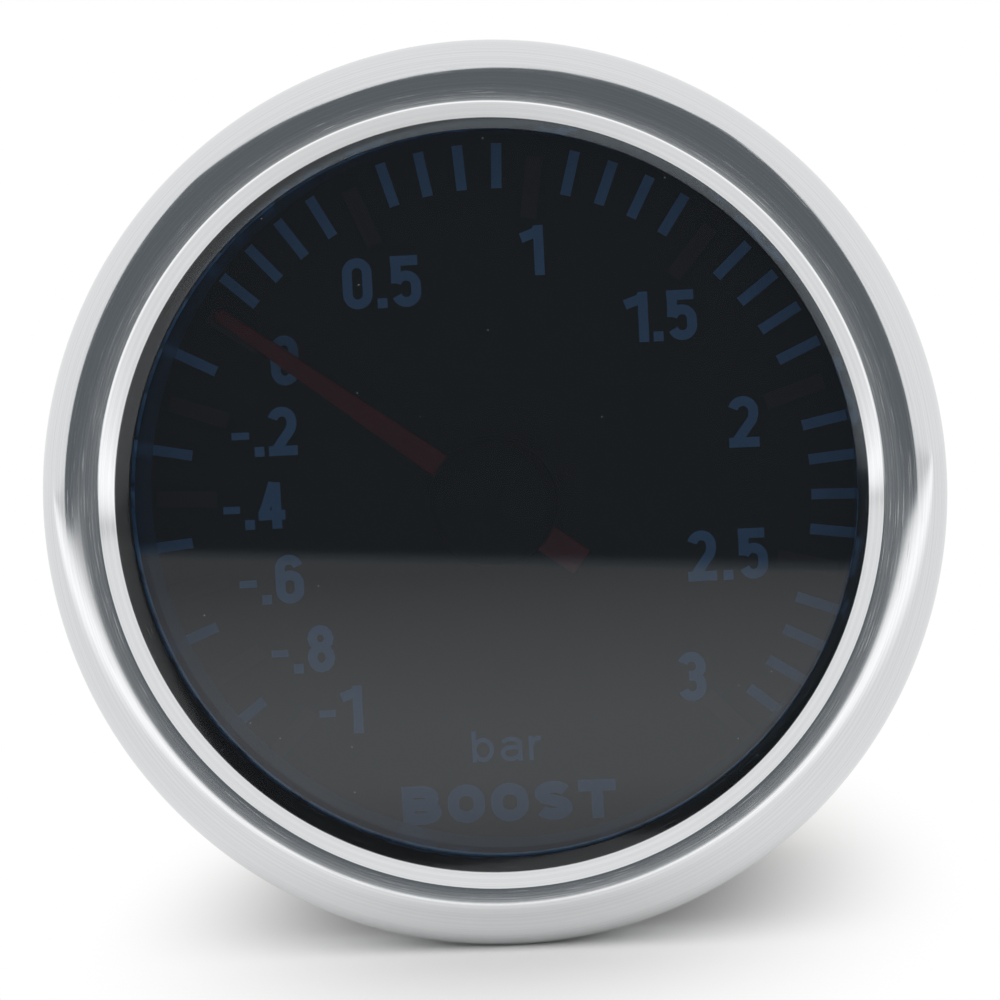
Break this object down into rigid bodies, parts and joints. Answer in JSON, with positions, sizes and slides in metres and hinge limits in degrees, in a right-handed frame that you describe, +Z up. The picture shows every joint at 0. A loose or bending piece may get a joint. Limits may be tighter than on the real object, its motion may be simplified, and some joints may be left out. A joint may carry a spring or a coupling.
{
  "type": "boost gauge",
  "caption": "Round panel pressure gauge with a smoked lens, a dial and needle on a bourdon tube movement, a hose inlet, a clamp on two studs and a push-in lamp.",
  "frame": {"origin": "on the gauge's axis, in the plane where the back of the bezel meets the panel", "axes": "the dial faces -Y, +Y runs back along the barrel, +Z is up with the dial upright, +X is to the right as seen from the front"},
  "size_m": [0.06, 0.067, 0.06],
  "materials": {
    "bezel_aluminium": "satin polished",
    "smoked_lens": "smoked, glossy",
    "seal_rubber": "matt",
    "spacer_plastic": "pale blue, glossy",
    "dial_print": "matt black, printed",
    "clear_acrylic": "clear, polished",
    "white_plastic": "matt white",
    "case_paint": "black enamel",
    "needle_acrylic": "translucent red",
    "cap_plastic": "black",
    "brass": "turned",
    "arbor_steel": "ground",
    "spring_bronze": "rolled strip",
    "zinc_steel": "bright zinc plate",
    "clamp_steel": "black zinc",
    "fibre_washer": "red vulcanised fibre",
    "lamp_plastic": "moulded black",
    "bulb_glass": "clear"
  },
  "bodies": {
    "case": {"bezel_ring": "bezel_aluminium", "lens": "smoked_lens", "lens_seal": "seal_rubber", "spacer_ring": "spacer_plastic", "dial_face": "dial_print", "light_plate": "clear_acrylic", "reflector_sleeve": "white_plastic", "case_shell": "case_paint", "hairspring": "spring_bronze", "hairspring_peg": "brass", "bourdon_tube": "spring_bronze", "socket_block": "brass", "movement_back_plate": "brass", "movement_front_plate": "brass", "plate_pillars": "brass", "pillar_screws": "arbor_steel", "movement_screws": "arbor_steel", "inlet_washer": "fibre_washer", "inlet_lock_nut": "brass", "inlet_spigot": "brass", "mounting_studs": "zinc_steel", "stud_nuts": "zinc_steel"},
    "pointer": {"pinion_arbor": "arbor_steel", "pointer_bush": "brass", "pointer_needle": "needle_acrylic", "pointer_cap": "cap_plastic", "hairspring_collet": "brass"},
    "sector": {"sector_gear": "brass", "sector_arbor": "arbor_steel", "sector_link_pin": "arbor_steel"},
    "link": {"link_bar": "brass"},
    "tip": {"tube_tip": "brass", "tip_link_pin": "arbor_steel"},
    "clamp": {"clamp_bracket": "clamp_steel", "lock_washers": "zinc_steel"},
    "left_nut": {"thumb_nut_left": "brass"},
    "right_nut": {"thumb_nut_right": "brass"},
    "lamp": {"lamp_holder": "lamp_plastic", "lamp_bulb": "bulb_glass", "lamp_terminals": "zinc_steel"}
  },
  "joints": [
    {"name": "sector_swing", "type": "hinge", "parent": "case", "child": "sector", "pos_m": [0.00751, 0, -0.01183], "axis": [0, 1, 0], "range_deg": [-23.6, 10.35], "stiffness_Nm_per_rad": 0.05},
    {"name": "pointer_turn", "type": "hinge", "parent": "case", "child": "pointer", "pos_m": [-0.00035, 0, -0.00085], "axis": [0, 1, 0], "range_deg": [-82.8, 188.8], "deforming": ["hairspring"]},
    {"name": "link_swing", "type": "hinge", "parent": "sector", "child": "link", "pos_m": [0.01075, 0, -0.01495], "axis": [0, 1, 0], "range_deg": [-10.2, 23.25]},
    {"name": "tip_flex", "type": "hinge", "parent": "case", "child": "tip", "pos_m": [-0.00263, 0, 0.00404], "axis": [0, 1, 0], "range_deg": [-4.8, 2.1], "deforming": ["bourdon_tube"]},
    {"name": "clamp_slide", "type": "slide", "parent": "case", "child": "clamp", "axis": [0, 1, 0], "range_m": [-0.005, 0.014]},
    {"name": "left_nut_turn", "type": "hinge", "parent": "clamp", "child": "left_nut", "pos_m": [-0.016, 0, 0], "axis": [0, 1, 0], "range_deg": [-2571.5, 7200.5]},
    {"name": "right_nut_turn", "type": "hinge", "parent": "clamp", "child": "right_nut", "pos_m": [0.016, 0, 0], "axis": [0, 1, 0], "range_deg": [-2571.5, 7200.5]},
    {"name": "lamp_pull", "type": "slide", "parent": "case", "child": "lamp", "axis": [0, 1, 0], "range_m": [0, 0.022]}
  ],
  "couplings": [
    {"joint": "pointer_turn", "follows": "sector_swing", "ratio": -8},
    {"joint": "link_swing", "follows": "sector_swing", "ratio": -0.9842},
    {"joint": "tip_flex", "follows": "sector_swing", "ratio": 0.2019},
    {"joint": "left_nut_turn", "follows": "clamp_slide", "rad_per_m": 8976},
    {"joint": "right_nut_turn", "follows": "clamp_slide", "rad_per_m": 8976}
  ]
}
